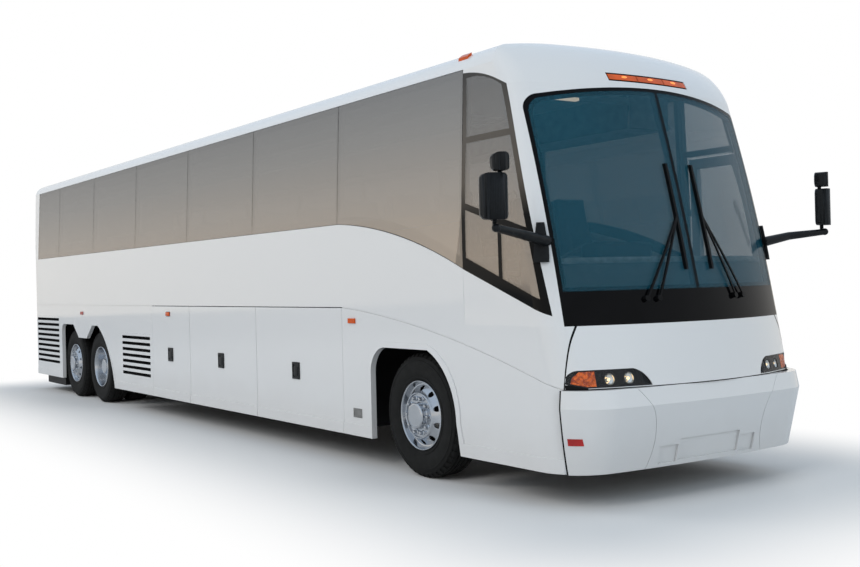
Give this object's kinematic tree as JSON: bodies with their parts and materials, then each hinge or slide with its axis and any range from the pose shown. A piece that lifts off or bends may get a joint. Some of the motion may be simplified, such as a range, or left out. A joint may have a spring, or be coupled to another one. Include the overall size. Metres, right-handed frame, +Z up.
{
  "type": "coach bus",
  "caption": "Three-axle touring coach with wrap-round screen, bonded side windows, luggage bays, steered front wheels and hinged doors.",
  "frame": {"origin": "on the ground under the middle of the coach's length and width", "axes": "+X forward, +Y to the coach's left, +Z up"},
  "size_m": [13.8399, 3.8112, 3.56],
  "materials": {
    "body paint": "white gloss paint over clear coat",
    "black trim": "black gasket rubber and bonding band",
    "black plastic": "grained black moulding",
    "dash plastic": "soft dark grey moulding",
    "lamp lens": "dark lamp housing under a clear lens",
    "amber lens": "amber lens",
    "red lens": "red lens",
    "screen glass": "teal tinted laminated glass",
    "side glass": "dark bronze tinted glass",
    "deck": "dark grey floor covering on steel",
    "frame steel": "black chassis paint",
    "engine iron": "dark cast iron",
    "axle iron": "black painted casting",
    "spring rubber": "ribbed rubber bellows",
    "seat fabric": "dark blue grey moquette",
    "rack plastic": "pale grey laminate",
    "tyre": "black tyre rubber",
    "polished alloy": "polished forged wheel"
  },
  "bodies": {
    "coach body": {"air_springs": "spring rubber", "bumper": "body paint", "bumper_corners": "body paint", "cab_window_frames": "black trim", "dash": "dash plastic", "decks": "deck", "driver_seat": "seat fabric", "engine": "engine iron", "front_axle": "axle iron", "front_cap": "body paint", "front_corners": "body paint", "front_panel": "body paint", "headlamps": "lamp lens", "louvres": "body paint", "marker_lamps": "amber lens", "mirrors": "black plastic", "parcel_racks": "rack plastic", "passenger_seats": "seat fabric", "rear_axles": "axle iron", "rear_cap": "body paint", "roof": "body paint", "side_glass": "side glass", "side_wall_left": "body paint", "side_wall_right": "body paint", "steering_wheel": "dash plastic", "tail_lamps": "red lens", "underframe": "frame steel", "window_frames": "black trim", "windshield": "screen glass", "windshield_frame": "black trim", "wipers": "black trim"},
    "steering knuckle right": {"knuckle_right": "axle iron"},
    "front wheel right": {"tyre_front_right": "tyre", "rim_front_right": "polished alloy"},
    "drive wheel right": {"tyre_drive_right": "tyre", "rim_drive_right": "polished alloy"},
    "tag wheel right": {"tyre_tag_right": "tyre", "rim_tag_right": "polished alloy"},
    "steering knuckle left": {"knuckle_left": "axle iron"},
    "front wheel left": {"tyre_front_left": "tyre", "rim_front_left": "polished alloy"},
    "drive wheel left": {"tyre_drive_left": "tyre", "rim_drive_left": "polished alloy"},
    "tag wheel left": {"tyre_tag_left": "tyre", "rim_tag_left": "polished alloy"},
    "bay door right 1": {"bay_door_right_1": "body paint"},
    "bay door left 1": {"bay_door_left_1": "body paint"},
    "bay door right 2": {"bay_door_right_2": "body paint"},
    "bay door left 2": {"bay_door_left_2": "body paint"},
    "bay door right 3": {"bay_door_right_3": "body paint"},
    "bay door left 3": {"bay_door_left_3": "body paint"},
    "entrance door": {"entrance_door": "body paint", "entrance_glass": "side glass"},
    "engine door": {"engine_door": "body paint"}
  },
  "joints": [
    {"name": "steer_right", "type": "hinge", "parent": "coach body", "child": "steering knuckle right", "pos_m": [4.75, -0.93, 0.53], "axis": [0, 0, 1], "range_deg": [-45, 45]},
    {"name": "roll_front_right", "type": "hinge", "parent": "steering knuckle right", "child": "front wheel right", "pos_m": [4.75, -1.1, 0.53], "axis": [0, 1, 0], "continuous": true},
    {"name": "roll_drive_right", "type": "hinge", "parent": "coach body", "child": "drive wheel right", "pos_m": [-3.65, -1.1, 0.53], "axis": [0, 1, 0], "continuous": true},
    {"name": "roll_tag_right", "type": "hinge", "parent": "coach body", "child": "tag wheel right", "pos_m": [-4.87, -1.1, 0.53], "axis": [0, 1, 0], "continuous": true},
    {"name": "steer_left", "type": "hinge", "parent": "coach body", "child": "steering knuckle left", "pos_m": [4.75, 0.93, 0.53], "axis": [0, 0, 1], "range_deg": [-45, 45]},
    {"name": "roll_front_left", "type": "hinge", "parent": "steering knuckle left", "child": "front wheel left", "pos_m": [4.75, 1.1, 0.53], "axis": [0, 1, 0], "continuous": true},
    {"name": "roll_drive_left", "type": "hinge", "parent": "coach body", "child": "drive wheel left", "pos_m": [-3.65, 1.1, 0.53], "axis": [0, 1, 0], "continuous": true},
    {"name": "roll_tag_left", "type": "hinge", "parent": "coach body", "child": "tag wheel left", "pos_m": [-4.87, 1.1, 0.53], "axis": [0, 1, 0], "continuous": true},
    {"name": "open_bay_right_1", "type": "hinge", "parent": "coach body", "child": "bay door right 1", "pos_m": [2.675, -1.288, 1.43], "axis": [-1, 0, 0], "range_deg": [0, 100]},
    {"name": "open_bay_left_1", "type": "hinge", "parent": "coach body", "child": "bay door left 1", "pos_m": [2.675, 1.288, 1.43], "axis": [1, 0, 0], "range_deg": [0, 100]},
    {"name": "open_bay_right_2", "type": "hinge", "parent": "coach body", "child": "bay door right 2", "pos_m": [0.845, -1.288, 1.43], "axis": [-1, 0, 0], "range_deg": [0, 100]},
    {"name": "open_bay_left_2", "type": "hinge", "parent": "coach body", "child": "bay door left 2", "pos_m": [0.845, 1.288, 1.43], "axis": [1, 0, 0], "range_deg": [0, 100]},
    {"name": "open_bay_right_3", "type": "hinge", "parent": "coach body", "child": "bay door right 3", "pos_m": [-0.695, -1.288, 1.43], "axis": [-1, 0, 0], "range_deg": [0, 100]},
    {"name": "open_bay_left_3", "type": "hinge", "parent": "coach body", "child": "bay door left 3", "pos_m": [-0.695, 1.288, 1.43], "axis": [1, 0, 0], "range_deg": [0, 100]},
    {"name": "open_entrance", "type": "hinge", "parent": "coach body", "child": "entrance door", "pos_m": [6.42, 1.288, 1.5], "axis": [0, 0, -1], "range_deg": [0, 85]},
    {"name": "open_engine_door", "type": "hinge", "parent": "coach body", "child": "engine door", "pos_m": [-6.913, 0, 1.52], "axis": [0, 1, 0], "range_deg": [0, 80]}
  ],
  "couplings": [
    {"joint": "steer_left", "follows": "steer_right", "ratio": 1}
  ]
}
